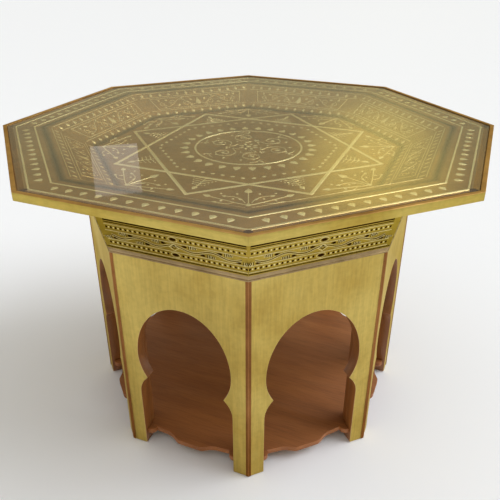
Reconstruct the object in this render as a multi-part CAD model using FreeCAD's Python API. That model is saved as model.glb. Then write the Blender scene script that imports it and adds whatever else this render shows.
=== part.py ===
"""Octagonal brass tray table: an arched stand, a lift-off glazed tray top and a loose glass.

Frame: millimetres, +Z up, origin on the floor at the centre of the stand. The eight sides face
the azimuths 0, 45, ... 315 degrees, so four of them face +X, +Y, -X and -Y, and the corners lie
22.5 degrees either side of them. A horizontal size is given as an apothem, which is the distance
from the axis to the middle of a side.
"""
import FreeCAD, Part
import math
import os

from FreeCAD import Vector

SIDES = 8
SIDE_ANGLE = 360.0 / SIDES
HALF_TAN = math.tan(math.radians(SIDE_ANGLE / 2))
HALF_COS = math.cos(math.radians(SIDE_ANGLE / 2))
ORIGIN = Vector(0, 0, 0)
UP = Vector(0, 0, 1)

# Driving dimensions of the whole table.
TABLE_HEIGHT = 482.0
TOP_CORNER_R = 390.0
STAND_CORNER_R = 273.0
SHEET_T = 0.8

# Feet, panels and their arched openings.
PAD_T = 1.5
PAD_R = 8.0
PANEL_T = 18.0
PANEL_TOP = 366.6
JAMB_HALF_W = 78.8
JAMB_TOP = 112.0
CUSP_HALF_W = 64.4
ARCH_HALF_W = 77.2
ARCH_CENTRE_Z = 187.0
ARCH_RISE = 98.6
HAUNCH_TURN = 25.0
SHOULDER_BULGE = (3.0, 2.5)

# Trim on the stand.
WAIST_BOTTOM = 357.6
WAIST_T = 1.5
STRIP_LEG = 4.5
STRIP_T = 0.8

# Frieze: eight boards that lean outwards up to the support ring.
FRIEZE_BOTTOM_APOTHEM = 254.4
FRIEZE_TOP_APOTHEM = 276.0
FRIEZE_TOP = 458.0
FRIEZE_T = 12.0
CORNICE_H = 20.0
CORNICE_TOP_D = 18.0
CORNICE_LOW_D = 4.0

# Shelf on corner blocks.
SHELF_BOTTOM = 19.0
SHELF_T = 8.5
SHELF_GAP = 0.2
JAMB_GAP = 0.5
BLOCK_LEG = 16.0
BLOCK_DEPTH = 12.0
BLOCK_BOTTOM = 6.0
POST_TOP = 360.0
SCREW_R = 1.75
SCREW_HEAD_R = 3.5
SCREW_HEAD_H = 2.2
SCREW_LENGTH = 16.0
SCREW_POINT_L = 3.0
SCREW_TIP_R = 0.3
SCREW_FROM_CORNER = 8.6
SLOT_W = 0.8

# Scalloped end of the shelf, as (inset from the stand's face, distance from the side's middle).
OGEE = [(2.6, 15.6), (4.4, 24.0), (8.8, 31.0), (12.1, 38.0), (13.7, 46.8)]
NOTCH = (15.3, 66.0)
EAR_CURVE = (8.5, 68.5)
EAR = (5.2, 74.0)

# Tray top.
RIM_W = 5.8
RIM_CAP_T = 0.8
TOP_UNDERSIDE = 470.5
BOARD_T = 4.9
TRAY_T = 1.0
DISH_TOP_CORNER_R = 315.9
DISH_FLOOR_CORNER_R = 247.7
DISH_DEPTH_FROM_RIM = 38.0
DISH_GAP = 1.0
RING_APOTHEM = 306.0
BACKING_T = 6.0
BACKING_INSET = 2.8
SPLINE_LEG = 9.0
SPLINE_INSET = 1.4
SPLINE_T = 1.6
SPLINE_BOTTOM = 474.0

# Glass and the clear discs it lies on.
GLASS_T = 4.0
GLASS_GAP = 0.8
BEVEL_W = 8.0
BEVEL_DROP = 0.6
BUMPER_R = 5.0
BUMPER_T = 0.8
BUMPER_INSET = 8.0

# Sizes worked out from the ones above.
TOP_APOTHEM = TOP_CORNER_R * HALF_COS
STAND_APOTHEM = STAND_CORNER_R * HALF_COS
WOOD_APOTHEM = STAND_APOTHEM - SHEET_T
INNER_APOTHEM = WOOD_APOTHEM - PANEL_T
FLARE = (FRIEZE_TOP_APOTHEM - FRIEZE_BOTTOM_APOTHEM) / (FRIEZE_TOP - PANEL_TOP)
RIM_TOP = TABLE_HEIGHT - RIM_CAP_T
RIM_INNER_APOTHEM = TOP_APOTHEM - RIM_W
BOARD_TOP = TOP_UNDERSIDE + BOARD_T
BORDER_TOP = BOARD_TOP + TRAY_T
DISH_FLOOR = TABLE_HEIGHT - DISH_DEPTH_FROM_RIM
DISH_TOP_APOTHEM = DISH_TOP_CORNER_R * HALF_COS
DISH_FLOOR_APOTHEM = DISH_FLOOR_CORNER_R * HALF_COS
DISH_SLOPE = (DISH_TOP_APOTHEM - DISH_FLOOR_APOTHEM) / (BORDER_TOP - DISH_FLOOR)
DISH_WALL_W = TRAY_T * math.hypot(1.0, DISH_SLOPE)
GLASS_BOTTOM = BORDER_TOP + BUMPER_T
GLASS_TOP = GLASS_BOTTOM + GLASS_T
GLASS_APOTHEM = RIM_INNER_APOTHEM - GLASS_GAP


def octagon(apothem, z):
    """Closed octagonal wire whose sides face 0, 45, ... degrees."""
    corners = [polar(apothem / HALF_COS, SIDE_ANGLE * (k + 0.5), z) for k in range(SIDES)]
    return Part.makePolygon(corners + corners[:1])


def polar(radius, degrees, z):
    """Point at a radius and azimuth."""
    angle = math.radians(degrees)
    return Vector(radius * math.cos(angle), radius * math.sin(angle), z)


def frustum(low_apothem, low, high_apothem, high):
    """Solid octagonal block that widens or narrows evenly between two heights."""
    wires = [octagon(low_apothem, low), octagon(high_apothem, high)]
    return Part.makeLoft(wires, True, True)


def prism(apothem, low, high):
    """Solid octagonal block with upright sides."""
    return frustum(apothem, low, apothem, high)


def ring(inner_apothem, outer_apothem, low, high):
    """Octagonal ring with upright sides."""
    return prism(outer_apothem, low, high).cut(prism(inner_apothem, low - 1, high + 1))


def plan_block(points, low, high):
    """Upright block over a plan outline of (x, y) points."""
    outline = [Vector(x, y, low) for x, y in points]
    face = Part.Face(Part.makePolygon(outline + outline[:1]))
    return face.extrude(UP * (high - low))


def turned(shape, degrees):
    """Copy of a shape turned about the table's axis."""
    copy = shape.copy()
    copy.rotate(ORIGIN, UP, degrees)
    return copy


def all_round(shape):
    """Eight copies of a shape, one per side or per corner, as separate solids."""
    return Part.makeCompound([turned(shape, SIDE_ANGLE * k) for k in range(SIDES)])


def one_side(whole_ring):
    """The mitred piece of an octagonal ring that faces +X."""
    reach = TOP_CORNER_R
    wedge = [(0, 0), (reach, -reach * HALF_TAN), (reach, reach * HALF_TAN)]
    return whole_ring.common(plan_block(wedge, 0, TABLE_HEIGHT))


def across_corner(x, y):
    """Mirror a plan point over the corner line at 22.5 degrees."""
    angle = math.radians(SIDE_ANGLE)
    return (x * math.cos(angle) + y * math.sin(angle), x * math.sin(angle) - y * math.cos(angle))


def corner_block(points, low, high):
    """Upright block at the 22.5 degree corner: half an outline, starting on the corner line."""
    mirrored = [across_corner(x, y) for x, y in reversed(points)]
    on_corner = 1 if math.dist(points[0], mirrored[-1]) < 1e-6 else 0
    return plan_block(points + mirrored[:len(mirrored) - on_corner], low, high)


def bent_strip(inner_apothem, outer_apothem, leg, low, high):
    """Strip folded round the 22.5 degree corner, with a leg on each side."""
    leg_end = outer_apothem * HALF_TAN - leg
    outside = [(outer_apothem, outer_apothem * HALF_TAN), (outer_apothem, leg_end)]
    inside = [(inner_apothem, leg_end), (inner_apothem, inner_apothem * HALF_TAN)]
    half = outside + inside
    mirrored = [across_corner(x, y) for x, y in (inside[0], outside[1])]
    return plan_block(half + mirrored, low, high)


def arch_opening():
    """Cutter for the opening in the side that faces +X: jambs, cusps and a raised round head."""
    def point(y, z):
        return Vector(0, y, z)

    cusp_z = ARCH_CENTRE_Z - math.sqrt(ARCH_HALF_W ** 2 - CUSP_HALF_W ** 2)
    half_turn = math.radians(HAUNCH_TURN)
    haunch = (ARCH_HALF_W * math.cos(half_turn), ARCH_CENTRE_Z - ARCH_HALF_W * math.sin(half_turn))
    shoulder = ((JAMB_HALF_W + CUSP_HALF_W) / 2 + SHOULDER_BULGE[0],
                (JAMB_TOP + cusp_z) / 2 + SHOULDER_BULGE[1])
    head = Part.Ellipse(point(0, ARCH_CENTRE_Z + ARCH_RISE), point(ARCH_HALF_W, ARCH_CENTRE_Z),
                        point(0, ARCH_CENTRE_Z))
    edges = [Part.ArcOfEllipse(head, -math.pi / 2, math.pi / 2).toShape()]
    for side in (1, -1):
        jamb_foot = point(side * JAMB_HALF_W, -1)
        jamb_top = point(side * JAMB_HALF_W, JAMB_TOP)
        cusp = point(side * CUSP_HALF_W, cusp_z)
        spring = point(side * ARCH_HALF_W, ARCH_CENTRE_Z)
        edges.append(Part.makeLine(jamb_foot, jamb_top))
        edges.append(Part.Arc(jamb_top, point(side * shoulder[0], shoulder[1]), cusp).toShape())
        edges.append(Part.Arc(cusp, point(side * haunch[0], haunch[1]), spring).toShape())
    edges.append(Part.makeLine(point(-JAMB_HALF_W, -1), point(JAMB_HALF_W, -1)))
    outline = Part.Wire(Part.__sortEdges__(edges))
    return Part.Face(outline).extrude(Vector(STAND_CORNER_R, 0, 0))


def shelf_tongue(low, high):
    """Scalloped end of the shelf that passes through the arch facing +X."""
    def point(place, sign):
        inset, along = place
        return Vector(STAND_APOTHEM - inset, sign * along, low)

    side = JAMB_HALF_W - JAMB_GAP
    root = INNER_APOTHEM - BLOCK_DEPTH
    edges = [Part.makeLine(point(OGEE[0], -1), point(OGEE[0], 1))]
    for sign in (1, -1):
        curve = Part.BSplineCurve()
        curve.interpolate([point(place, sign) for place in OGEE])
        notch = point(NOTCH, sign)
        ear = point(EAR, sign)
        outer_end = point((EAR[0], side), sign)
        edges.append(curve.toShape())
        edges.append(Part.makeLine(point(OGEE[-1], sign), notch))
        edges.append(Part.Arc(notch, point(EAR_CURVE, sign), ear).toShape())
        edges.append(Part.makeLine(ear, outer_end))
        edges.append(Part.makeLine(outer_end, Vector(root, sign * side, low)))
    edges.append(Part.makeLine(Vector(root, -side, low), Vector(root, side, low)))
    return Part.Face(Part.Wire(Part.__sortEdges__(edges))).extrude(UP * (high - low))


def corner_block_outline():
    """Plan outline, from the corner line, of the blocks behind each corner of the stand."""
    half_side = INNER_APOTHEM * HALF_TAN
    return [(INNER_APOTHEM, half_side), (INNER_APOTHEM, half_side - BLOCK_LEG),
            (INNER_APOTHEM - BLOCK_DEPTH, half_side - BLOCK_LEG)]


def shelf_screw():
    """Countersunk slotted screw that comes up through a shelf block at 22.5 degrees."""
    radius = INNER_APOTHEM / HALF_COS - SCREW_FROM_CORNER
    foot = polar(radius, SIDE_ANGLE / 2, BLOCK_BOTTOM)
    head = Part.makeCone(SCREW_HEAD_R, SCREW_R, SCREW_HEAD_H, foot)
    shank = Part.makeCylinder(SCREW_R, SCREW_LENGTH, foot)
    point = Part.makeCone(SCREW_R, SCREW_TIP_R, SCREW_POINT_L, foot + UP * SCREW_LENGTH)
    solid = head.fuse([shank, point]).removeSplitter()
    slot = Part.makeBox(4 * SCREW_R, SLOT_W, SLOT_W)
    slot.translate(foot - Vector(2 * SCREW_R, SLOT_W / 2, 0))
    return solid, solid.cut(slot)


def stand_parts():
    """Nodes of the arched stand."""
    parts = {}
    arch = arch_opening()
    board = one_side(ring(INNER_APOTHEM, WOOD_APOTHEM, PAD_T, PANEL_TOP)).cut(arch)
    sheet = one_side(ring(WOOD_APOTHEM, STAND_APOTHEM, PAD_T, PANEL_TOP)).cut(arch)
    strip = bent_strip(STAND_APOTHEM, STAND_APOTHEM + STRIP_T, STRIP_LEG, PAD_T, WAIST_BOTTOM)

    low_wood = FRIEZE_BOTTOM_APOTHEM - SHEET_T
    high_wood = FRIEZE_TOP_APOTHEM - SHEET_T
    frieze_wood = frustum(low_wood, PANEL_TOP, high_wood, FRIEZE_TOP)
    frieze_inside = frustum(low_wood - FRIEZE_T, PANEL_TOP, high_wood - FRIEZE_T, FRIEZE_TOP)
    frieze_skin = frustum(FRIEZE_BOTTOM_APOTHEM, PANEL_TOP, FRIEZE_TOP_APOTHEM, FRIEZE_TOP)
    frieze_board = one_side(frieze_wood.cut(frieze_inside))

    for k in range(SIDES):
        angle = SIDE_ANGLE * k
        parts["arch_panel_%d" % (k + 1)] = turned(board, angle)
        parts["panel_sheet_%d" % (k + 1)] = turned(sheet, angle)
        parts["corner_strip_%d" % (k + 1)] = turned(strip, angle)
        parts["frieze_board_%d" % (k + 1)] = turned(frieze_board, angle)
    parts["frieze_sheet"] = frieze_skin.cut(frieze_wood)
    parts["waist_band"] = ring(STAND_APOTHEM, STAND_APOTHEM + WAIST_T, WAIST_BOTTOM, PANEL_TOP)

    outline = corner_block_outline()
    screw_hole, screw = shelf_screw()
    shelf_top = SHELF_BOTTOM + SHELF_T
    tongue = shelf_tongue(SHELF_BOTTOM, shelf_top)
    shelf = prism(INNER_APOTHEM - SHELF_GAP, SHELF_BOTTOM, shelf_top)
    shelf = shelf.fuse([turned(tongue, SIDE_ANGLE * k) for k in range(SIDES)]).removeSplitter()
    holes = all_round(screw_hole)
    parts["shelf"] = shelf.cut(holes)
    shelf_block = corner_block(outline, BLOCK_BOTTOM, SHELF_BOTTOM).cut(screw_hole)
    parts["shelf_blocks"] = all_round(shelf_block)
    parts["corner_posts"] = all_round(corner_block(outline, shelf_top, POST_TOP))
    parts["shelf_screws"] = all_round(screw)

    pad_radius = (WOOD_APOTHEM + INNER_APOTHEM) / 2 / HALF_COS
    pad = Part.makeCylinder(PAD_R, PAD_T, polar(pad_radius, SIDE_ANGLE / 2, 0))
    parts["felt_pads"] = all_round(pad)
    return parts


def dish_outside(z):
    """Apothem of the underside of the dish wall at a height."""
    return DISH_TOP_APOTHEM + DISH_WALL_W - DISH_SLOPE * (BORDER_TOP - z)


def cornice():
    """Eight mitred strips under the support ring, against the outside of the frieze."""
    low = FRIEZE_TOP - CORNICE_H
    low_apothem = FRIEZE_TOP_APOTHEM - FLARE * CORNICE_H
    inside = frustum(low_apothem, low, FRIEZE_TOP_APOTHEM, FRIEZE_TOP)
    outside = frustum(low_apothem + CORNICE_LOW_D, low,
                      FRIEZE_TOP_APOTHEM + CORNICE_TOP_D, FRIEZE_TOP)
    return all_round(one_side(outside.cut(inside)))


def support_ring():
    """Ring on the frieze that carries the tray top, bevelled inside to let the dish nest."""
    inside = frustum(dish_outside(FRIEZE_TOP) + 2 * DISH_GAP, FRIEZE_TOP,
                     dish_outside(TOP_UNDERSIDE) + 2 * DISH_GAP, TOP_UNDERSIDE)
    return prism(RING_APOTHEM, FRIEZE_TOP, TOP_UNDERSIDE).cut(inside)


def tray_parts():
    """Nodes of the lift-off tray top."""
    parts = {}
    spline = bent_strip(RIM_INNER_APOTHEM + SPLINE_INSET, TOP_APOTHEM - SPLINE_INSET, SPLINE_LEG,
                        SPLINE_BOTTOM, SPLINE_BOTTOM + SPLINE_T)
    rim_side = one_side(ring(RIM_INNER_APOTHEM, TOP_APOTHEM, TOP_UNDERSIDE, RIM_TOP))
    rim_side = rim_side.cut([spline, turned(spline, -SIDE_ANGLE)])
    for k in range(SIDES):
        parts["rim_%d" % (k + 1)] = turned(rim_side, SIDE_ANGLE * k)
    parts["rim_splines"] = all_round(spline)
    parts["rim_cap"] = ring(RIM_INNER_APOTHEM, TOP_APOTHEM, RIM_TOP, TABLE_HEIGHT)

    board_hole = frustum(dish_outside(TOP_UNDERSIDE) + DISH_GAP, TOP_UNDERSIDE,
                         dish_outside(BOARD_TOP) + DISH_GAP, BOARD_TOP)
    parts["top_board"] = prism(RIM_INNER_APOTHEM, TOP_UNDERSIDE, BOARD_TOP).cut(board_hole)

    dish_bottom = DISH_FLOOR - TRAY_T
    dish = frustum(dish_outside(dish_bottom), dish_bottom, dish_outside(BOARD_TOP), BOARD_TOP)
    border = prism(RIM_INNER_APOTHEM, BOARD_TOP, BORDER_TOP)
    hollow = frustum(DISH_FLOOR_APOTHEM, DISH_FLOOR, DISH_TOP_APOTHEM, BORDER_TOP)
    parts["tray_sheet"] = border.fuse(dish).cut(hollow).removeSplitter()
    backing_apothem = DISH_FLOOR_APOTHEM - BACKING_INSET
    parts["dish_backing"] = prism(backing_apothem, dish_bottom - BACKING_T, dish_bottom)

    bumper_radius = RIM_INNER_APOTHEM / HALF_COS - BUMPER_INSET
    bumper = Part.makeCylinder(BUMPER_R, BUMPER_T, polar(bumper_radius, SIDE_ANGLE / 2, BORDER_TOP))
    parts["glass_bumpers"] = all_round(bumper)
    return parts


def glass_plate():
    """Octagonal plate with a wide shallow bevel round its upper edge."""
    body = prism(GLASS_APOTHEM, GLASS_BOTTOM, GLASS_TOP - BEVEL_DROP)
    bevel = frustum(GLASS_APOTHEM, GLASS_TOP - BEVEL_DROP, GLASS_APOTHEM - BEVEL_W, GLASS_TOP)
    return body.fuse(bevel).removeSplitter()


def main():
    os.makedirs("parts", exist_ok=True)
    parts = stand_parts()
    parts["support_ring"] = support_ring()
    parts["cornice"] = cornice()
    parts.update(tray_parts())
    parts["glass_plate"] = glass_plate()
    for node, shape in parts.items():
        shape.exportStep("parts/%s.step" % node)


main()
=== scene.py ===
"""Looks of the octagonal brass tray table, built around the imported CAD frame.

Metres, +Z up, origin on the floor at the table's axis. The middles of the eight sides lie at the
azimuths 0, 45, ... 315 degrees and the corners halfway between them. Ornament is drawn in
millimetres on the plane of the face that carries it.
"""
import bmesh
import bpy
import math
from mathutils import Matrix, Vector


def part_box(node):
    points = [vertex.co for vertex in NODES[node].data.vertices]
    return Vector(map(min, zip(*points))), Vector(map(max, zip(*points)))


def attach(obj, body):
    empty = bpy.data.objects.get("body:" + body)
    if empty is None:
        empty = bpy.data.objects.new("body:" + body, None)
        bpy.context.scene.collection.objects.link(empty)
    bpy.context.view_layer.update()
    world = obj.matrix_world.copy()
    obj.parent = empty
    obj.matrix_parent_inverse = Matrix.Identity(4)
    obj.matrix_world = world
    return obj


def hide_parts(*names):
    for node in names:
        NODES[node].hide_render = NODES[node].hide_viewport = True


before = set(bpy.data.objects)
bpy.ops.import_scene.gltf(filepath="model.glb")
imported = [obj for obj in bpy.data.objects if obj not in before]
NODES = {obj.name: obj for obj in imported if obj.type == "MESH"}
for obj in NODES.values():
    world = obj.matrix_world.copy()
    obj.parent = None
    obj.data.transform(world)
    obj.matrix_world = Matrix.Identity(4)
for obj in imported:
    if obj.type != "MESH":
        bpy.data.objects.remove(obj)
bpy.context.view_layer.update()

MM = 0.001
SIDES = 8
TURN = 2 * math.pi / SIDES
HALF_COS = math.cos(TURN / 2)
HALF_TAN = math.tan(TURN / 2)
EACH_SIDE = range(1, SIDES + 1)


# ---------------------------------------------------------------- sizes read from the frame

def apothem(node, z, pick=max):
    """Apothem of an octagonal node's outer (max) or inner (min) edge at a height."""
    vertices = NODES[node].data.vertices
    return HALF_COS * pick(v.co.xy.length for v in vertices if abs(v.co.z - z) < 0.05 * MM)


TOP_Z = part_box("rim_cap")[1].z
TOP_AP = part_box("rim_cap")[1].x
CAP_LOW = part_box("rim_cap")[0].z
RIM_IN_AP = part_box("tray_sheet")[1].x
BORDER_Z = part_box("tray_sheet")[1].z
SHEET_T = BORDER_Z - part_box("top_board")[1].z
FLOOR_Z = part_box("tray_sheet")[0].z + SHEET_T
FLOOR_AP = apothem("tray_sheet", FLOOR_Z)
DISH_AP = apothem("tray_sheet", BORDER_Z, min)
UNDER_AP = apothem("tray_sheet", BORDER_Z - SHEET_T, min)
UNDER_FLOOR_AP = apothem("tray_sheet", FLOOR_Z - SHEET_T)
SLOPE_RUN = DISH_AP - FLOOR_AP
SLOPE_RISE = BORDER_Z - FLOOR_Z
SLOPE_LENGTH = math.hypot(SLOPE_RUN, SLOPE_RISE)
SLOPE_LEAN = math.atan2(SLOPE_RUN, SLOPE_RISE)
GLASS_LOW, GLASS_HIGH = (corner.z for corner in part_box("glass_plate"))
GLASS_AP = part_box("glass_plate")[1].x
GLASS_TOP_AP = apothem("glass_plate", GLASS_HIGH)
FRIEZE_LOW, FRIEZE_HIGH = (corner.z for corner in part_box("frieze_sheet"))
FRIEZE_LOW_AP = apothem("frieze_sheet", FRIEZE_LOW)
FRIEZE_HIGH_AP = apothem("frieze_sheet", FRIEZE_HIGH)
FRIEZE_LEAN = math.atan2(FRIEZE_HIGH_AP - FRIEZE_LOW_AP, FRIEZE_HIGH - FRIEZE_LOW)
BAND_LOW, BAND_HIGH = (corner.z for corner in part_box("waist_band"))
BAND_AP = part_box("waist_band")[1].x
PANEL_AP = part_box("panel_sheet_1")[1].x


# ---------------------------------------------------------------- materials

def add(tree, kind, settings=None, **inputs):
    """New shader node. Inputs are named with _ for a space; a socket is linked, a value is set."""
    node = tree.nodes.new("ShaderNode" + kind)
    for key, value in (settings or {}).items():
        setattr(node, key, value)
    for key, value in inputs.items():
        socket = node.inputs[key.replace("_", " ")]
        if isinstance(value, bpy.types.NodeSocket):
            tree.links.new(value, socket)
        else:
            socket.default_value = value
    return node


def math_node(tree, operation, a, b=0.0):
    """Output of a Math node on two sockets or values."""
    node = tree.nodes.new("ShaderNodeMath")
    node.operation = operation
    for socket, value in zip(node.inputs, (a, b)):
        if isinstance(value, bpy.types.NodeSocket):
            tree.links.new(value, socket)
        else:
            socket.default_value = value
    return node.outputs[0]


def mix_colors(tree, factor, a, b, blend="MIX"):
    """Output of a colour mix between two colours or sockets."""
    node = tree.nodes.new("ShaderNodeMix")
    node.data_type = "RGBA"
    node.blend_type = blend
    for index, value in ((0, factor), (6, a), (7, b)):
        if isinstance(value, bpy.types.NodeSocket):
            tree.links.new(value, node.inputs[index])
        else:
            node.inputs[index].default_value = value
    return node.outputs[2]


def ramp(tree, factor, *stops):
    """Colour ramp through (position, grey or colour) stops."""
    node = tree.nodes.new("ShaderNodeValToRGB")
    elements = node.color_ramp.elements
    while len(elements) < len(stops):
        elements.new(0.5)
    for element, (position, value) in zip(elements, stops):
        element.position = position
        element.color = value if isinstance(value, tuple) else (value, value, value, 1)
    tree.links.new(factor, node.inputs[0])
    return node.outputs[0]


def rgb(red, green, blue):
    """Linear colour from 0 to 255 screen values."""
    def linear(value):
        share = value / 255
        return share / 12.92 if share <= 0.04045 else ((share + 0.055) / 1.055) ** 2.4
    return (linear(red), linear(green), linear(blue), 1)


def noise(tree, scale, detail=4.0, stretch=(1, 1, 1), rough=0.55):
    """Noise over the object's own coordinates, stretched along its axes."""
    place = add(tree, "TexCoord").outputs["Object"]
    mapped = add(tree, "Mapping", Vector=place, Scale=stretch).outputs[0]
    return add(tree, "TexNoise", Vector=mapped, Scale=scale, Detail=detail, Roughness=rough).outputs[0]


def new_material(name):
    """Material with a Principled shader, as (material, tree, shader)."""
    material = bpy.data.materials.new(name)
    material.use_nodes = True
    tree = material.node_tree
    return material, tree, tree.nodes["Principled BSDF"]


def bump(tree, shader, *layers):
    """Stacks (height socket, strength, distance) bump layers into a shader's normal."""
    normal = None
    for height, strength, distance in layers:
        node = add(tree, "Bump", Height=height, Strength=strength, Distance=distance)
        if normal is not None:
            tree.links.new(normal, node.inputs["Normal"])
        normal = node.outputs[0]
    tree.links.new(normal, shader.inputs["Normal"])


def metal(name, clean, tarnish, rough=(0.3, 0.5), grain=(90, 90, 3), figure=0.25, hammer=0.0,
          painted_shade=None):
    """Worked sheet metal: brushed grain, cloudy tarnish and, with hammer, a beaten surface.

    figure is the depth of broader streaks along the grain. The last argument makes a socket of painted
    shade that darkens the colour, such as shade in a fold: 1 leaves the colour.
    """
    material, tree, shader = new_material(name)
    cloud = noise(tree, 9, 5)
    fleck = noise(tree, 140, 3)
    lines = noise(tree, 22, 5, grain, 0.7)
    streaks = noise(tree, 22, 3, tuple(max(0.8, g / 6) for g in grain), 0.6)
    color = mix_colors(tree, ramp(tree, cloud, (0.38, 0.0), (0.72, 1.0)), clean, tarnish)
    color = mix_colors(tree, 0.5, color, ramp(tree, lines, (0.3, 0.78), (0.7, 1.0)), "MULTIPLY")
    color = mix_colors(tree, 1.0, color, ramp(tree, streaks, (0.36, 1 - figure), (0.62, 1.0)),
                       "MULTIPLY")
    color = mix_colors(tree, 0.3, color, ramp(tree, fleck, (0.3, 0.7), (0.6, 1.0)), "MULTIPLY")
    # painted shade, such as in the tray's folds, multiplied into the colour
    if painted_shade is not None:
        color = mix_colors(tree, 1.0, color, painted_shade(tree), "MULTIPLY")
    tree.links.new(color, shader.inputs["Base Color"])
    shader.inputs["Metallic"].default_value = 1.0
    shader.inputs["Specular Tint"].default_value = tuple(c ** 0.4 for c in clean[:3]) + (1,)
    low, high = rough
    spread = ramp(tree, math_node(tree, "ADD", math_node(tree, "MULTIPLY", cloud, 0.5),
                                  math_node(tree, "MULTIPLY", lines, 0.5)),
                  (0.3, low), (0.7, high))
    tree.links.new(spread, shader.inputs["Roughness"])
    layers = [(lines, 0.25, 0.2 * MM), (fleck, 0.12, 0.15 * MM)]
    if hammer:
        layers.append((noise(tree, 26, 2), hammer, 1.2 * MM))
    bump(tree, shader, *layers)
    return material


def octagon_distance(tree):
    """Socket with a point's apothem in the table's plan, in metres."""
    place = add(tree, "TexCoord").outputs["Object"]
    split = add(tree, "SeparateXYZ", Vector=place)
    x, y = split.outputs[0], split.outputs[1]
    sums = [math_node(tree, op, x, y) for op in ("ADD", "SUBTRACT")]
    diagonals = [math_node(tree, "MULTIPLY", math_node(tree, "ABSOLUTE", s), math.sqrt(0.5)) for s in sums]
    upright = [math_node(tree, "ABSOLUTE", s) for s in (x, y)]
    widest = upright[0]
    for other in upright[1:] + diagonals:
        widest = math_node(tree, "MAXIMUM", widest, other)
    return widest


def painted_fold_shade(tree):
    """Painted shade: soft dark lines in the tray's folds and at its step, where shade gathers."""
    distance = octagon_distance(tree)
    shade = None
    for line, width, depth in ((FLOOR_AP, 8.0 * MM, 0.7), (STEP_AP, 7.0 * MM, 0.8)):
        away = math_node(tree, "ABSOLUTE", math_node(tree, "SUBTRACT", distance, line))
        near = math_node(tree, "SUBTRACT", 1.0, math_node(tree, "DIVIDE", away, width))
        near = math_node(tree, "MAXIMUM", near, 0.0)
        dark = math_node(tree, "SUBTRACT", 1.0, math_node(tree, "MULTIPLY", near, depth))
        shade = dark if shade is None else math_node(tree, "MULTIPLY", shade, dark)
    return shade


def wood(name, light, dark, grain=(14, 14, 1), rough=0.45, gloss=0.3):
    """Stained wood with long grain lines along the axis that grain doesn't stretch."""
    material, tree, shader = new_material(name)
    figure = noise(tree, 3.2, 6, grain, 0.62)
    pores = noise(tree, 26, 4, tuple(3 * g if g > 1 else g for g in grain), 0.7)
    color = mix_colors(tree, ramp(tree, figure, (0.35, 0.0), (0.68, 1.0)), light, dark)
    color = mix_colors(tree, 0.6, color, ramp(tree, pores, (0.35, 0.55), (0.55, 1.0)), "MULTIPLY")
    tree.links.new(color, shader.inputs["Base Color"])
    tree.links.new(ramp(tree, figure, (0.3, rough - 0.08), (0.7, rough + 0.12)),
                   shader.inputs["Roughness"])
    shader.inputs["Coat Weight"].default_value = gloss
    shader.inputs["Coat Roughness"].default_value = 0.25
    bump(tree, shader, (pores, 0.25, 0.2 * MM), (figure, 0.15, 0.3 * MM))
    return material


def clear_glass(name, tint, roughness_max):
    """Glass that lets lamps through to what lies under it, with faint smears on its surface."""
    material, tree, shader = new_material(name)
    shader.inputs["Base Color"].default_value = tint
    shader.inputs["Transmission Weight"].default_value = 1.0
    shader.inputs["IOR"].default_value = 1.5
    smear = noise(tree, 7, 5)
    tree.links.new(ramp(tree, smear, (0.45, 0.0), (0.75, roughness_max)), shader.inputs["Roughness"])
    open_way = add(tree, "BsdfTransparent", Color=(0.93, 0.95, 0.93, 1))
    shadow_ray = add(tree, "LightPath").outputs["Is Shadow Ray"]
    blend = add(tree, "MixShader", Fac=shadow_ray)
    tree.links.new(shader.outputs[0], blend.inputs[1])
    tree.links.new(open_way.outputs[0], blend.inputs[2])
    output = tree.nodes["Material Output"]
    tree.links.new(blend.outputs[0], output.inputs["Surface"])
    return material


def soft_matter(name, color, roughness, fibre):
    """Felt or rubber: a dull colour with a fine surface."""
    material, tree, shader = new_material(name)
    grain = noise(tree, fibre, 4)
    tree.links.new(mix_colors(tree, grain, color, tuple(0.6 * c for c in color[:3]) + (1,)),
                   shader.inputs["Base Color"])
    shader.inputs["Roughness"].default_value = roughness
    bump(tree, shader, (grain, 0.4, 0.3 * MM))
    return material


# ---------------------------------------------------------------- meshes

def piece(name, bm, body, materials, sharp=32.0):
    """Object from a finished bmesh, with crisp edges only where faces turn by more than sharp."""
    bmesh.ops.recalc_face_normals(bm, faces=bm.faces)
    mesh = bpy.data.meshes.new(name)
    bm.to_mesh(mesh)
    bm.free()
    for material in materials:
        mesh.materials.append(material)
    mesh.polygons.foreach_set("use_smooth", [True] * len(mesh.polygons))
    mesh.set_sharp_from_angle(angle=math.radians(sharp))
    obj = bpy.data.objects.new(name, mesh)
    bpy.context.scene.collection.objects.link(obj)
    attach(obj, body)
    return obj


def softened(node, name, width, materials, body="stand", pick=None):
    """Copy of a CAD node with its sharp edges rounded; it stands for the node.

    The rounded edges take the second material, mostly a lighter copy of the first that paints a
    highlight along them. pick gives a face's own material from its centre and normal, for a board
    whose edge or a rail whose inside differs.
    """
    bm = bmesh.new()
    bm.from_mesh(NODES[node].data)
    bmesh.ops.remove_doubles(bm, verts=bm.verts, dist=0.01 * MM)
    bmesh.ops.dissolve_limit(bm, angle_limit=math.radians(0.5), verts=bm.verts, edges=bm.edges)
    for face in bm.faces:
        face.material_index = pick(face.calc_center_median(), face.normal) if pick else 0
    sharp = [e for e in bm.edges if e.is_manifold and e.calc_face_angle() > math.radians(30)]
    bmesh.ops.bevel(bm, geom=sharp, offset=width, segments=2, profile=0.5, affect="EDGES",
                    clamp_overlap=True, material=1)
    obj = piece(name, bm, body, materials)
    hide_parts(node)
    return obj


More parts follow.
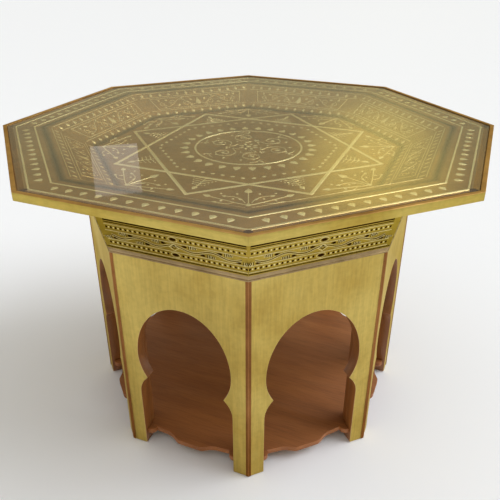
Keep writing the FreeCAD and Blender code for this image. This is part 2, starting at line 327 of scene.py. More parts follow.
def fillet(points, radius, steps=4):
    """Polyline with each inner corner of a profile rounded to a radius or as far as it fits."""
    result = [Vector(points[0])]
    for before, corner, after in zip(points, points[1:], points[2:]):
        before, corner, after = Vector(before), Vector(corner), Vector(after)
        to_before, to_after = before - corner, after - corner
        turn = math.pi - to_before.angle(to_after)
        cut = min(radius * math.tan(turn / 2), 0.45 * to_before.length, 0.45 * to_after.length)
        start = corner + to_before.normalized() * cut
        end = corner + to_after.normalized() * cut
        for i in range(steps + 1):
            share = i / steps
            first, second = start.lerp(corner, share), corner.lerp(end, share)
            result.append(first.lerp(second, share))
    result.append(Vector(points[-1]))
    return result


def octagon_loop(bm, ap, z):
    """Eight corner vertices of an octagon with an apothem, at a height."""
    radius = ap / HALF_COS
    angles = [TURN * (k + 0.5) for k in range(SIDES)]
    return [bm.verts.new((radius * math.cos(a), radius * math.sin(a), z)) for a in angles]


def swept(profile, closed=True):
    """Solid swept round the octagon from an (apothem, z) profile.

    A closed profile makes a ring; an open one starts and ends in flat octagonal caps.
    """
    bm = bmesh.new()
    loops = [octagon_loop(bm, ap, z) for ap, z in profile]
    pairs = list(zip(loops, loops[1:]))
    if closed:
        pairs.append((loops[-1], loops[0]))
    else:
        bm.faces.new(loops[0])
        bm.faces.new(loops[-1])
    for low, high in pairs:
        for k in range(SIDES):
            j = (k + 1) % SIDES
            bm.faces.new((low[k], low[j], high[j], high[k]))
    return bm


# ---------------------------------------------------------------- ornament on flat faces

def flat_plane(z, angle):
    """Plane at a height whose X points outwards at an azimuth."""
    return Matrix.Translation((0, 0, z)) @ Matrix.Rotation(angle, 4, "Z")


def side_plane(k, ap, z, lean, facing=1):
    """Plane of a leaning side: X along it, Y up it, Z out of its outer (1) or inner (-1) face."""
    angle = TURN * k
    out = Vector((math.cos(angle), math.sin(angle), 0))
    along = Vector((-math.sin(angle), math.cos(angle), 0))
    up = Vector((0, 0, 1))
    rise = up * math.cos(lean) + out * math.sin(lean)
    normal = out * math.cos(lean) - up * math.sin(lean)
    plane = Matrix((along * facing, rise, normal * facing)).transposed().to_4x4()
    plane.translation = out * ap + up * z
    return plane


def dot(x, y, rx, ry=None, points=10):
    """Round or oval outline."""
    ry = rx if ry is None else ry
    angles = [2 * math.pi * i / points for i in range(points)]
    return [(x + rx * math.cos(a), y + ry * math.sin(a)) for a in angles]


def leaf(x, y, angle, length, width, blunt=0.6, points=6):
    """Drop outline from a round foot at (x, y) to a point; blunt under 1 moves its belly footwards."""
    ahead = Vector((math.cos(angle), math.sin(angle)))
    across = Vector((-ahead.y, ahead.x))
    shares = [i / points for i in range(points + 1)]
    halves = [width / 2 * math.sin(math.pi * share ** blunt) for share in shares]
    left = [ahead * length * s + across * w for s, w in zip(shares, halves)]
    right = [ahead * length * s - across * w for s, w in zip(shares, halves)]
    outline = left + right[-2:0:-1]
    return [(x + p.x, y + p.y) for p in outline]


def smooth(points, steps=6):
    """Points along a smooth curve through the given ones."""
    ends = [points[0]] + list(points) + [points[-1]]
    result = []
    for p0, p1, p2, p3 in zip(ends, ends[1:], ends[2:], ends[3:]):
        for i in range(steps):
            t = i / steps
            result.append(tuple(
                0.5 * (2 * b + (c - a) * t + (2 * a - 5 * b + 4 * c - d) * t * t
                       + (3 * b - a - 3 * c + d) * t ** 3)
                for a, b, c, d in zip(p0, p1, p2, p3)))
    result.append(tuple(points[-1]))
    return result


def spiral(x, y, start, outer, inner, turns, points=22):
    """Points of a scroll that winds in from an outer to an inner radius."""
    result = []
    for i in range(points + 1):
        share = i / points
        angle = start + 2 * math.pi * turns * share
        radius = outer + (inner - outer) * share ** 0.8
        result.append((x + radius * math.cos(angle), y + radius * math.sin(angle)))
    return result


def mirrored(outline):
    """Outline or path mirrored over the plane's X axis."""
    return [(x, -y) for x, y in outline]


class Relief:
    """Small closed raised shapes on flat faces, gathered into one mesh. Sizes in millimetres."""

    SINK = 0.15

    def __init__(self):
        self.bm = bmesh.new()

    def vert(self, plane, x, y, h):
        return self.bm.verts.new(plane @ Vector((x * MM, y * MM, h * MM)))

    def shape(self, plane, outline, height=0.3, crown=0.0, top=0.72):
        """Closed shape with sloping sides and, with a crown, a domed top."""
        count = len(outline)
        cx = sum(p[0] for p in outline) / count
        cy = sum(p[1] for p in outline) / count
        low = [self.vert(plane, x, y, -self.SINK) for x, y in outline]
        high = [self.vert(plane, cx + top * (x - cx), cy + top * (y - cy), height) for x, y in outline]
        self.bm.faces.new(low[::-1])
        for i in range(count):
            j = (i + 1) % count
            self.bm.faces.new((low[i], low[j], high[j], high[i]))
        if crown:
            peak = self.vert(plane, cx, cy, height + crown)
            for i in range(count):
                self.bm.faces.new((high[i], high[(i + 1) % count], peak))
        else:
            self.bm.faces.new(high)

    def ribbon(self, plane, path, width, height=0.3, closed=False):
        """Raised line with sloping sides and mitred corners along a path."""
        count = len(path)
        rows = []
        for i, point in enumerate(path):
            before = Vector(path[i - 1] if closed or i else point)
            after = Vector(path[(i + 1) % count] if closed or i < count - 1 else point)
            here = Vector(point)
            into, out = here - before, after - here
            into = into if into.length > 1e-9 else out
            out = out if out.length > 1e-9 else into
            into, out = into.normalized(), out.normalized()
            normal = Vector((-into.y - out.y, into.x + out.x)).normalized()
            reach = width / 2 / max(0.35, normal.dot(Vector((-into.y, into.x))))
            rows.append([self.vert(plane, *(here + normal * reach * s), h)
                         for s, h in ((-1, -self.SINK), (-0.7, height), (0.7, height), (1, -self.SINK))])
        pairs = list(zip(rows, rows[1:]))
        if closed:
            pairs.append((rows[-1], rows[0]))
        else:
            self.bm.faces.new(rows[0])
            self.bm.faces.new(rows[-1][::-1])
        for a, b in pairs:
            for i in range(4):
                j = (i + 1) % 4
                self.bm.faces.new((a[i], a[j], b[j], b[i]))


def octagon_path(ap):
    """Corner points of an octagon with an apothem in millimetres."""
    radius = ap / HALF_COS
    return [(radius * math.cos(TURN * (k + 0.5)), radius * math.sin(TURN * (k + 0.5)))
            for k in range(SIDES)]


# ---------------------------------------------------------------- ornament of the tray

STAR_R = 214.5
RING_R = 85.5
STEP_AP = DISH_AP + 9.0 * MM
BORDER_OUTER_LINE = TOP_AP * 0.947 / MM
BORDER_INNER_LINE = TOP_AP * 0.872 / MM
BORDER_LEAVES = 12
BORDER_PITCH = 20.9


def rosette(relief, plane):
    """Centre of the floor: a flower and six scrolls inside a plain ring."""
    circle = dot(0, 0, RING_R, points=72)
    relief.ribbon(plane, circle, 3.4, 0.35, closed=True)
    relief.shape(plane, dot(0, 0, 4.2, points=12), 0.35, 0.25)
    for i in range(8):
        relief.shape(plane, turned([leaf(7.5, 0, 0, 9.5, 5.2)], TURN * i)[0], 0.3, 0.2)
    for i in range(6):
        angle = math.pi / 3 * i
        wind = 1 if i % 2 else -1
        scroll = spiral(49, 0, math.pi * 0.9, 19.5, 5.5, 1.35 * wind)
        stem = smooth([(20, -3 * wind), (25, 8 * wind), scroll[0]])
        twig = smooth([(66, 9 * wind), (74, 3 * wind), (76, -8 * wind)])
        parts = turned([scroll, stem, twig], angle)
        for path in parts:
            relief.ribbon(plane, path, 1.5, 0.25)
        blooms = [leaf(45.5, -3, 0.5, 10, 6.5), leaf(70, 8 * wind, 0.7 * wind, 8, 4),
                  leaf(33, 13 * wind, 1.9 * wind, 7, 4), leaf(60, -19 * wind, -0.3 * wind, 7.5, 4)]
        for outline in turned(blooms, angle):
            relief.shape(plane, outline, 0.25, 0.2)
        for outline in turned([dot(64, 0, 2.0), dot(27, 15, 1.8), dot(78, 12 * wind, 1.6)], angle):
            relief.shape(plane, outline, 0.25, 0.15)


def turned(outlines, angle):
    """Outlines or paths turned about the plane's origin."""
    c, s = math.cos(angle), math.sin(angle)
    return [[(x * c - y * s, x * s + y * c) for x, y in outline] for outline in outlines]


def floor_ornament(relief):
    """Rosette, petal ring, dotted octagon, strapwork star, sprigs and corner palmettes."""
    plane = flat_plane(FLOOR_Z, 0)
    rosette(relief, plane)
    petals = 28
    for i in range(petals):
        petal = leaf(95, 0, 0, 17.0, 13.0, 0.5)
        relief.shape(plane, turned([petal], 2 * math.pi * i / petals)[0], 0.3, 0.3)
    for start, height in ((0.0, 0.32), (TURN, 0.44)):
        square = [(STAR_R * math.cos(start + math.pi / 2 * i), STAR_R * math.sin(start + math.pi / 2 * i))
                  for i in range(4)]
        relief.ribbon(plane, square, 5.6, height, closed=True)
    for k in range(SIDES):
        side = flat_plane(FLOOR_Z, TURN * k)
        for i in range(7):
            relief.shape(side, dot(133, 15.6 * (i - 3), 2.8, 3.8), 0.25, 0.2)
        sprig(relief, side)
        palmette(relief, flat_plane(FLOOR_Z, TURN * (k + 0.5)))


def sprig(relief, side):
    """Feathered sprig in a point of the star."""
    relief.shape(side, leaf(184, 0, 0, 14, 8.5), 0.3, 0.3)
    relief.ribbon(side, [(185, 0), (156, 0)], 1.5, 0.25)
    for i in range(4):
        x = 181 - 6.5 * i
        reach = 6.0 + 2.6 * i
        barb = smooth([(x, 0.5), (x - 2.5, 0.6 * reach), (x - 1.5, reach)], 4)
        for path in (barb, mirrored(barb)):
            relief.ribbon(side, path, 1.5, 0.22)
        relief.shape(side, dot(x - 3, reach + 3.0, 1.3, points=8), 0.22)
        relief.shape(side, dot(x - 3, -reach - 3.0, 1.3, points=8), 0.22)


def palmette(relief, corner):
    """Spray that rises from a corner of the floor towards the star."""
    relief.ribbon(corner, [(234, 0), (193, 0)], 1.6, 0.25)
    relief.shape(corner, leaf(196, 0, math.pi, 18, 12, 0.55), 0.3, 0.35)
    relief.shape(corner, leaf(238, 0, math.pi, 12, 8), 0.25, 0.2)
    for wing in (1, -1):
        arm = smooth([(234, 1.5), (229, 12), (220, 27), (211, 42), (205, 52)])
        inner = smooth([(228, 4), (216, 9), (208, 18), (205, 30)])
        twig = smooth([(226, 18), (229, 30), (224, 42)])
        for path, width in ((arm, 1.6), (inner, 1.3), (twig, 1.3)):
            relief.ribbon(corner, path if wing > 0 else mirrored(path), width, 0.25)
        blooms = [leaf(206, 49, 2.1, 14, 8.5), leaf(206, 28, 2.0, 8.5, 5), leaf(225, 40, 1.9, 8, 4.5),
                  leaf(218, 8, 2.4, 8, 4.5), leaf(216, 34, 0.4, 7, 4)]
        for outline in blooms:
            relief.shape(corner, outline if wing > 0 else mirrored(outline), 0.25, 0.2)
        for x, y in ((198, 15), (196, 36), (214, 20)):
            relief.shape(corner, dot(x, wing * y, 2.0, points=8), 0.25, 0.1)


def slope_ornament(relief):
    """Leaf rows and a scroll cartouche on each sloping wall of the dish."""
    length = SLOPE_LENGTH / MM
    low_half, high_half = FLOOR_AP * HALF_TAN / MM, DISH_AP * HALF_TAN / MM
    for k in range(SIDES):
        wall = side_plane(k, FLOOR_AP, FLOOR_Z, SLOPE_LEAN, facing=-1)

        def half_width(y):
            return low_half + (high_half - low_half) * y / length

        for count, y, size in ((11, 4.5, 9.0), (13, 56.5, 10.0)):
            pitch = 2 * (half_width(y) - 9.5) / (count - 1)
            for i in range(count):
                x = (i - (count - 1) / 2) * pitch
                relief.shape(wall, leaf(x, y, math.pi / 2, size, 6.2), 0.3, 0.25)
        for y in (16.0, 54.5, length - 3.0):
            reach = half_width(y) - 4
            relief.ribbon(wall, [(-reach, y), (reach, y)], 1.5, 0.25)
        low_end, high_end = half_width(20) - 20, half_width(50) - 20
        cartouche = [(-low_end, 20), (low_end, 20), (high_end, 50), (-high_end, 50)]
        relief.ribbon(wall, cartouche, 1.5, 0.25, closed=True)
        wall_scrolls(relief, wall)


def wall_scrolls(relief, wall):
    """Vine with two scrolls each side of a central leaf, inside a wall's cartouche."""
    relief.shape(wall, leaf(0, 23.5, math.pi / 2, 23, 10), 0.3, 0.3)
    for wing in (1, -1):
        vine = smooth([(4, 30), (13, 26), (24, 38), (38, 44), (50, 32), (62, 26), (72, 36)])
        scrolls = [spiral(24, 31.5, 1.4, 7.5, 2.2, -1.2, 14), spiral(51, 38, -1.4, 7.0, 2.2, 1.2, 14),
                   spiral(71, 33, 1.5, 6.5, 2.0, -1.1, 14)]
        for path in [vine] + scrolls:
            relief.ribbon(wall, [(wing * x, y) for x, y in path], 1.3, 0.22)
        leaves = [leaf(12, 38, 0.9, 8, 4.5), leaf(37, 30, -0.7, 8, 4.5), leaf(60, 43, 0.3, 8, 4.5),
                  leaf(33, 46, 2.6, 6, 3.5), leaf(66, 24, 0.2, 6, 3.5), leaf(14, 24, 0.3, 6, 3.5),
                  leaf(76, 42, 1.1, 7, 4)]
        for outline in leaves:
            relief.shape(wall, [(wing * x, y) for x, y in outline], 0.25, 0.2)


def border_ornament(relief):
    """Leaf row between two lines on the flat border."""
    plane = flat_plane(BORDER_Z, 0)
    for ap in (BORDER_OUTER_LINE, BORDER_INNER_LINE):
        relief.ribbon(plane, octagon_path(ap), 2.8, 0.35, closed=True)
    middle = (BORDER_OUTER_LINE + BORDER_INNER_LINE) / 2
    for k in range(SIDES):
        side = flat_plane(BORDER_Z, TURN * k)
        for i in range(BORDER_LEAVES):
            y = (i - (BORDER_LEAVES - 1) / 2) * BORDER_PITCH
            relief.shape(side, leaf(middle - 6, y, 0, 12.5, 10.0, 0.55), 0.35, 0.3)


# ---------------------------------------------------------------- ornament of the frieze

BEADS = 13
FIRST_BEAD = 11.0
BEAD_PITCH = 7.45
BEAD_ROWS = (378.0, 403.6)
LONG_END = 108.0
SHORT_END = 100.0
OFF_CENTRE = (LONG_END - SHORT_END) / 2
LINE_REACH = (LONG_END + SHORT_END) / 2
FULL_REACH = 2 * LINE_REACH
MITRE_GAP = 0.6
LOWEST_LINE = (369.3, 1.4)
DARK_LINES = ((411.9, 1.5), (415.3, 2.6))
BRIGHT_LINES = (372.6, 383.4, 398.2, 408.6)
VINE_MIDDLE = 390.8
VINE_REACH = 95.0
VINE_WAVE = 53.0


def frieze_row(z):
    """Distance up the leaning board of a height above the floor."""
    return (z - FRIEZE_LOW / MM) / math.cos(FRIEZE_LEAN)


def frieze_half_side(z):
    """Half the width of a frieze board at a height."""
    return (FRIEZE_LOW_AP / MM + (z - FRIEZE_LOW / MM) * math.tan(FRIEZE_LEAN)) * HALF_TAN


def frieze_line(relief, board, shift, z, width, height, reach):
    """Line along a board moved sideways, trimmed so that it never crosses the mitre at its ends."""
    half_side = frieze_half_side(z)
    start = max(-reach, -half_side - shift) + MITRE_GAP
    end = min(reach, half_side - shift) - MITRE_GAP
    relief.ribbon(board, [(start, frieze_row(z)), (end, frieze_row(z))], width, height)


def frieze_beads(dark, bright, board, y):
    """Row of dark beads with bright ones between them, either side of a ringed oval."""
    dark.shape(board, dot(0, y, 5.2, 2.8, 14), 0.15)
    bright.ribbon(board, dot(0, y, 6.8, 4.0, 18), 0.8, 0.25, closed=True)
    for i in range(BEADS):
        bead = FIRST_BEAD + BEAD_PITCH * i
        for x in (-bead, bead):
            dark.shape(board, dot(x, y, 1.6, 2.3, 10), 0.15)
            between = x + math.copysign(BEAD_PITCH / 2, x)
            if i < BEADS - 1:
                bright.shape(board, dot(between, y, 1.2, 1.9, 8), 0.22)


def frieze_ornament(dark, bright):
    """Chased band on each frieze board: lines, two bead rows and a feathered vine.

    The band sits a little off the middle of its board, towards every other corner.
    """
    for k in range(SIDES):
        shift = -OFF_CENTRE if k % 2 else OFF_CENTRE
        board = side_plane(k, FRIEZE_LOW_AP, FRIEZE_LOW, FRIEZE_LEAN)
        board = board @ Matrix.Translation((shift * MM, 0, 0))
        frieze_line(dark, board, shift, *LOWEST_LINE, 0.12, FULL_REACH)
        for z, width in DARK_LINES:
            frieze_line(dark, board, shift, z, width, 0.12, LINE_REACH)
        for z in BRIGHT_LINES:
            frieze_line(bright, board, shift, z, 1.1, 0.25, LINE_REACH)
        for z in BEAD_ROWS:
            frieze_beads(dark, bright, board, frieze_row(z))
        frieze_vine(dark, bright, board, frieze_row(VINE_MIDDLE), VINE_REACH)


def frieze_vine(dark, bright, board, middle, reach):
    """Wavy stem with feathered leaves in its hollows, mirrored about the side's middle."""
    swing = 3.4
    waves = [reach * (i / 30 - 1) for i in range(61)]
    stem = [(x, middle + swing * math.cos(2 * math.pi * x / VINE_WAVE)) for x in waves]
    dark.ribbon(board, stem, 0.8, 0.1)
    for lift in (1.6, -1.6):
        bright.ribbon(board, [(x, y + lift) for x, y in stem], 0.8, 0.2)
    for wing in (1, -1):
        for tip, above in ((11.3, 1), (36.5, -1), (61.5, 1), (86.0, -1)):
            y = middle + above * 4.2
            head = leaf(tip + 8.5, y, math.pi, 9.5, 4.2, 0.7)
            dark.shape(board, [(wing * px, py) for px, py in head], 0.15)
            for i in range(5):
                x = tip + 10.5 + 2.4 * i
                half = 2.6 - 0.35 * i
                lean = 0.8 if i % 2 else 0.4
                for relief, shift, width in ((dark, 0.0, 1.0), (bright, 1.2, 0.8)):
                    path = [(wing * (x + shift), y - half), (wing * (x + shift + lean), y + half)]
                    relief.ribbon(board, path, width, 0.15)
        for x in (25.5, 51.0, 76.5):
            below = -math.copysign(1.0, math.cos(2 * math.pi * x / VINE_WAVE))
            for i in range(3):
                start = x - 4 + 3.2 * i
                path = [(wing * start, middle + 5.4 * below + 1.8),
                        (wing * (start + 3.2), middle + 5.4 * below - 1.6)]
                dark.ribbon(board, path, 0.8, 0.1)
    for size, relief, width in ((5.6, bright, 1.0), (2.6, dark, 0.9)):
        lozenge = [(-1.3 * size, middle), (0, middle - size), (1.3 * size, middle), (0, middle + size)]
        relief.ribbon(board, lozenge, width, 0.22, closed=True)


# ---------------------------------------------------------------- build

PANEL_GRAIN = (70, 70, 1.2)
panel_brass = metal("panel_brass", rgb(220, 194, 110), rgb(198, 167, 84), (0.38, 0.52), PANEL_GRAIN, 0.12)
# panel edge: a lighter, glossier copy of the panel brass on the rounded edges, a painted highlight
panel_edge_highlight = metal("panel_edge_highlight", rgb(246, 220, 158), rgb(230, 196, 122), (0.26, 0.38), PANEL_GRAIN, 0.1)
rim_brass = metal("rim_brass", rgb(216, 192, 104), rgb(196, 166, 76), (0.36, 0.5), (8, 8, 60), 0.12)
rim_inside = wood("rim_inside", rgb(126, 78, 44), rgb(96, 56, 30), (6, 6, 40), 0.5, 0.1)
frieze_brass = metal("frieze_brass", rgb(202, 175, 80), rgb(180, 150, 58), (0.38, 0.52), (8, 8, 8),
                     0.15, 0.1)
# the tray's colour carries painted shade in its folds and at its step
tray_brass = metal("tray_brass", rgb(196, 152, 88), rgb(158, 114, 63), (0.32, 0.48), (10, 10, 10),
                   0.15, 0.25, painted_fold_shade)
inlay_brass = metal("inlay_brass", rgb(252, 234, 176), rgb(244, 216, 146), (0.38, 0.50), (12, 12, 12), 0.08)
wall_inlay = metal("wall_inlay", rgb(242, 216, 150), rgb(222, 190, 124), (0.34, 0.48), (12, 12, 12), 0.12)
chased_dark = metal("chased_dark", rgb(70, 42, 14), rgb(40, 24, 8), (0.55, 0.75), (30, 30, 30))
chased_bright = metal("chased_bright", rgb(250, 238, 176), rgb(232, 210, 132), (0.3, 0.45), (12, 12, 12),
                      0.1)
copper = metal("copper_trim", rgb(166, 114, 68), rgb(129, 84, 48), (0.36, 0.52), (40, 40, 2), 0.2)
# copper edge: a lighter, glossier copy of the copper on the rounded edges, a painted highlight
copper_edge_highlight = metal("copper_edge_highlight", rgb(196, 138, 88), rgb(160, 104, 62), (0.28, 0.4), (40, 40, 2), 0.1)
strip_copper = metal("strip_copper", rgb(206, 164, 98), rgb(172, 130, 70), (0.46, 0.6), (12, 12, 12), 0.15)
bronze = metal("waist_bronze", rgb(190, 164, 122), rgb(152, 128, 92), (0.38, 0.52), (8, 8, 30), 0.2)
walnut = wood("walnut", rgb(166, 104, 50), rgb(130, 78, 34))
# walnut edge: a lighter copy of the walnut on the rounded edges, a painted highlight
walnut_edge_highlight = wood("walnut_edge_highlight", rgb(196, 128, 70), rgb(166, 100, 52))
shelf_wood = wood("shelf_wood", rgb(160, 97, 43), rgb(142, 84, 36), (1, 9, 9), 0.62, 0.0)
# shelf edge: the sawn edge with its own grain, made lighter than the faces as a painted highlight
shelf_edge_highlight = wood("shelf_edge_highlight", rgb(174, 106, 50), rgb(144, 84, 38), (6, 6, 20), 0.5, 0.0)
softwood = wood("softwood", rgb(176, 138, 92), rgb(140, 102, 62), (10, 10, 1), 0.6, 0.0)
glass = clear_glass("plate_glass", (0.965, 0.985, 0.96, 1), 0.05)
# bevel glass: its brown tint darkens what is seen through the bevel, painted shade along the rim
bevel_glass_painted_shade = clear_glass("bevel_glass_painted_shade", (0.62, 0.50, 0.38, 1), 0.08)
steel = metal("screw_steel", rgb(170, 170, 172), rgb(130, 130, 134), (0.3, 0.5), (20, 20, 20))
felt = soft_matter("felt", rgb(60, 52, 48), 0.95, 900)
bumper = soft_matter("amber_rubber", rgb(158, 118, 72), 0.5, 300)


def rim_face(centre, normal):
    """Inner faces of the rim are stained dark; the rest is brass."""
    return 2 if normal.dot(Vector((centre.x, centre.y, 0)).normalized()) < -0.5 else 0


def shelf_face(centre, normal):
    """Sawn edge of the shelf, in lighter wood that paints a highlight, against its faces."""
    return 1 if abs(normal.z) < 0.5 else 0


for n in EACH_SIDE:
    softened("arch_panel_%d" % n, "panel_board_%d" % n, 0.7 * MM, [walnut, walnut_edge_highlight])
    softened("panel_sheet_%d" % n, "panel_face_%d" % n, 0.35 * MM,
             [panel_brass, panel_edge_highlight])
    softened("corner_strip_%d" % n, "corner_trim_%d" % n, 0.35 * MM,
             [copper, copper_edge_highlight])
    softened("frieze_board_%d" % n, "frieze_back_%d" % n, 0.5 * MM, [walnut, walnut_edge_highlight])
    softened("rim_%d" % n, "rim_side_%d" % n, 0.2 * MM,
             [rim_brass, rim_brass, rim_inside], "tray_top", rim_face)
softened("shelf", "shelf_board", 1.2 * MM, [shelf_wood, shelf_edge_highlight], pick=shelf_face)

for node, material in (("shelf_blocks", walnut), ("corner_posts", walnut), ("support_ring", softwood),
                       ("cornice", walnut), ("rim_splines", softwood), ("top_board", softwood),
                       ("dish_backing", softwood), ("shelf_screws", steel), ("felt_pads", felt),
                       ("glass_bumpers", bumper)):
    slots = NODES[node].data.materials
    slots.clear()
    slots.append(material)


def build_tray():
    """Pressed dish: border with a shallow step, sloping walls and floor, all with soft folds."""
    step = 0.7 * MM
    top = [(RIM_IN_AP - 0.2 * MM, BORDER_Z), (STEP_AP + 4 * MM, BORDER_Z), (STEP_AP, BORDER_Z - step),
           (STEP_AP - 4 * MM, BORDER_Z), (DISH_AP, BORDER_Z), (FLOOR_AP, FLOOR_Z),
           (FLOOR_AP - 12 * MM, FLOOR_Z)]
    top = fillet(top, 7 * MM)
    under = [(UNDER_FLOOR_AP - 12 * MM, FLOOR_Z - SHEET_T), (UNDER_FLOOR_AP, FLOOR_Z - SHEET_T),
             (UNDER_AP, BORDER_Z - SHEET_T), (RIM_IN_AP - 0.2 * MM, BORDER_Z - SHEET_T)]
    profile = top[::-1] + [Vector(p) for p in under[::-1]]
    tray = piece("tray_dish", swept(profile, closed=False), "tray_top", [tray_brass])
    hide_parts("tray_sheet")


def build_rim_cap():
    """Copper strip on the rim, slightly crowned."""
    inner, outer = RIM_IN_AP, TOP_AP
    edge = 0.4 * MM
    profile = [(inner, CAP_LOW), (inner, TOP_Z - edge), (inner + edge, TOP_Z - 0.1 * MM),
               (inner + 2 * MM, TOP_Z), (outer - 2 * MM, TOP_Z), (outer - edge, TOP_Z - 0.1 * MM),
               (outer, TOP_Z - edge), (outer, CAP_LOW)]
    cap = piece("rim_strip", swept(profile), "tray_top", [strip_copper])
    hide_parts("rim_cap")


def build_waist_band():
    """Copper moulding under the frieze: a cove between two fillets."""
    depth = BAND_AP - PANEL_AP
    middle = (BAND_LOW + BAND_HIGH) / 2
    profile = [(PANEL_AP, BAND_LOW), (PANEL_AP + 0.6 * depth, BAND_LOW), (BAND_AP, BAND_LOW + 0.8 * MM),
               (BAND_AP, BAND_LOW + 2.0 * MM), (PANEL_AP + 0.45 * depth, BAND_LOW + 3.0 * MM),
               (PANEL_AP + 0.35 * depth, middle), (PANEL_AP + 0.5 * depth, BAND_HIGH - 2.6 * MM),
               (BAND_AP, BAND_HIGH - 1.2 * MM), (BAND_AP, BAND_HIGH), (PANEL_AP, BAND_HIGH)]
    band = piece("waist_moulding", swept(profile), "stand", [bronze])
    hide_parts("waist_band")


def build_frieze_sheet():
    """Brass skin of the frieze, with its lower edge folded over."""
    skin = 0.8 * MM
    turn = 0.3 * MM
    profile = [(FRIEZE_LOW_AP - skin, FRIEZE_LOW), (FRIEZE_LOW_AP - turn, FRIEZE_LOW),
               (FRIEZE_LOW_AP, FRIEZE_LOW + turn), (FRIEZE_HIGH_AP, FRIEZE_HIGH),
               (FRIEZE_HIGH_AP - skin, FRIEZE_HIGH)]
    sheet = piece("frieze_skin", swept(profile), "stand", [frieze_brass])
    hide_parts("frieze_sheet")


def build_glass():
    """Plate with a wide polished bevel; the bevel's faces have their own brown-tinted glass, which paints
    shade along the rim.
    """
    arris = 0.3 * MM
    drop = apothem_drop()
    profile = [(GLASS_AP - arris, GLASS_LOW), (GLASS_AP, GLASS_LOW + arris), (GLASS_AP, drop - arris),
               (GLASS_AP - arris, drop), (GLASS_TOP_AP, GLASS_HIGH)]
    bm = swept(profile, closed=False)
    for face in bm.faces:
        slant = face.calc_center_median().z > drop - 0.5 * arris and len(face.verts) == 4
        face.material_index = 1 if slant else 0
    plate = piece("glass_top", bm, "glass", [glass, bevel_glass_painted_shade], sharp=2.0)
    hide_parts("glass_plate")


def apothem_drop():
    """Height where the glass's upright edge meets its bevel."""
    heights = [v.co.z for v in NODES["glass_plate"].data.vertices]
    return max(z for z in heights if z < GLASS_HIGH - 0.1 * MM)


build_tray()
build_rim_cap()
build_waist_band()
build_frieze_sheet()
build_glass()

for name, draw, material in (("floor_inlay", floor_ornament, inlay_brass),
                             ("wall_inlay", slope_ornament, wall_inlay),
                             ("border_inlay", border_ornament, inlay_brass)):
    relief = Relief()
    draw(relief)
    piece(name, relief.bm, "tray_top", [material])

dark_relief, bright_relief = Relief(), Relief()
frieze_ornament(dark_relief, bright_relief)
piece("frieze_chasing", dark_relief.bm, "stand", [chased_dark])
piece("frieze_lines", bright_relief.bm, "stand", [chased_bright])


# ---------------------------------------------------------------- studio

CAMERA_AZIMUTH = math.radians(22.5)
CAMERA_PITCH = math.radians(28.26)
CAMERA_DISTANCE = 0.8916
CAMERA_HEIGHT = 0.7362
CAMERA_LENS = 41.09
CAMERA_SHIFT = 0.0031
FLOOR_HALF = 15.0
SUN_STRENGTH = 1.85
SUN_SPREAD = math.radians(45)
WINDOW_SIZE = (0.26, 0.28)
WINDOW_POWER = 0.085
LOW_SKY_LEFT = (0.54, 0.48, 0.30, 1)
LOW_SKY_RIGHT = (0.38, 0.41, 0.26, 1)
HIGH_SKY = (1.0, 0.99, 0.98, 1)
GLOW_COLOR = (1.7, 1.4, 0.45, 1)
BACKDROP_COLOR = (1.25, 1.25, 1.25, 1)
SKY_STRENGTH = 0.76


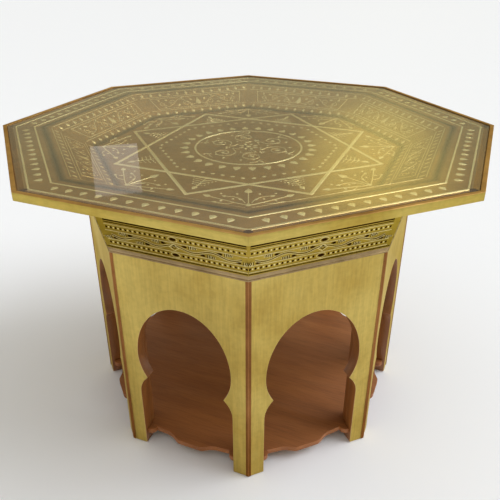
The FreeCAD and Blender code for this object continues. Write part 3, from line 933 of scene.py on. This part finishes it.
def build_studio():
    """Pale floor, soft sky with a warm and a cool side, one broad sun and the camera."""
    scene = bpy.context.scene
    scene.view_settings.view_transform = "Standard"

    material, tree, shader = new_material("studio_floor")
    shader.inputs["Base Color"].default_value = (0.93, 0.935, 0.96, 1)
    shader.inputs["Roughness"].default_value = 0.6
    shader.inputs["Specular IOR Level"].default_value = 0.2
    bump(tree, shader, (noise(tree, 60, 3), 0.05, 0.5 * MM))
    half = FLOOR_HALF
    mesh = bpy.data.meshes.new("studio_floor")
    mesh.from_pydata([(-half, -half, 0), (half, -half, 0), (half, half, 0), (-half, half, 0)], [],
                     [(0, 1, 2, 3)])
    mesh.materials.append(material)
    floor = bpy.data.objects.new("studio_floor", mesh)
    scene.collection.objects.link(floor)

    right = Vector((math.cos(CAMERA_AZIMUTH), math.sin(CAMERA_AZIMUTH), 0))
    away = Vector((-math.sin(CAMERA_AZIMUTH), math.cos(CAMERA_AZIMUTH), 0))
    up = Vector((0, 0, 1))
    build_sky(right, away)

    sun = bpy.data.lights.new("broad_sun", "SUN")
    sun.energy = SUN_STRENGTH
    sun.color = (0.95, 0.99, 1.05)
    sun.angle = SUN_SPREAD
    sun_object = bpy.data.objects.new("broad_sun", sun)
    sun_object.rotation_euler = (right * 0.85 + away * 0.05 + up * 0.8).to_track_quat("Z", "Y").to_euler()
    scene.collection.objects.link(sun_object)

    window = bpy.data.lights.new("soft_window", "AREA")
    window.shape = "RECTANGLE"
    window.size, window.size_y = WINDOW_SIZE
    window.energy = WINDOW_POWER
    window.color = (0.95, 0.92, 1.0)
    window_object = bpy.data.objects.new("soft_window", window)
    window_object.location = right * -0.75 + away * 2.18 + up * 1.36
    toward_glass = window_object.location - (right * -0.17 - away * 0.19 + up * TOP_Z)
    window_object.rotation_euler = toward_glass.to_track_quat("Z", "Y").to_euler()
    window_object.visible_camera = False
    scene.collection.objects.link(window_object)

    camera = bpy.data.cameras.new("camera")
    camera.lens = CAMERA_LENS
    camera.sensor_width = 36.0
    camera.shift_x = CAMERA_SHIFT
    eye = bpy.data.objects.new("camera", camera)
    eye.location = away * -CAMERA_DISTANCE + up * CAMERA_HEIGHT
    eye.rotation_euler = (math.pi / 2 - CAMERA_PITCH, 0, CAMERA_AZIMUTH)
    scene.collection.objects.link(eye)
    scene.camera = eye


def build_sky(right, away):
    """World light: white overhead, dim and warm low down, with a soft lamp glow on one side."""
    world = bpy.data.worlds.new("studio")
    world.use_nodes = True
    bpy.context.scene.world = world
    tree = world.node_tree
    toward = add(tree, "TexCoord").outputs["Generated"]

    def along(direction):
        product = add(tree, "VectorMath", {"operation": "DOT_PRODUCT"})
        tree.links.new(toward, product.inputs[0])
        product.inputs[1].default_value = direction
        return product.outputs["Value"]

    half = math_node(tree, "MULTIPLY", along(right), 0.5)
    side = math_node(tree, "ADD", half, 0.5)
    low = mix_colors(tree, side, LOW_SKY_LEFT, LOW_SKY_RIGHT)
    rise = ramp(tree, along((0, 0, 1)), (0.36, 0.0), (0.74, 1.0))
    sky = mix_colors(tree, rise, low, HIGH_SKY)
    glow_way = (away * 0.91 + right * 0.21 + Vector((0, 0, 0.35))).normalized()
    glow = ramp(tree, along(glow_way), (0.990, 0.0), (1.0, 1.0))
    sky = mix_colors(tree, glow, sky, GLOW_COLOR)
    seen = add(tree, "LightPath").outputs["Is Camera Ray"]
    sky = mix_colors(tree, seen, sky, BACKDROP_COLOR)
    backdrop = tree.nodes["Background"]
    tree.links.new(sky, backdrop.inputs["Color"])
    backdrop.inputs["Strength"].default_value = SKY_STRENGTH


build_studio()
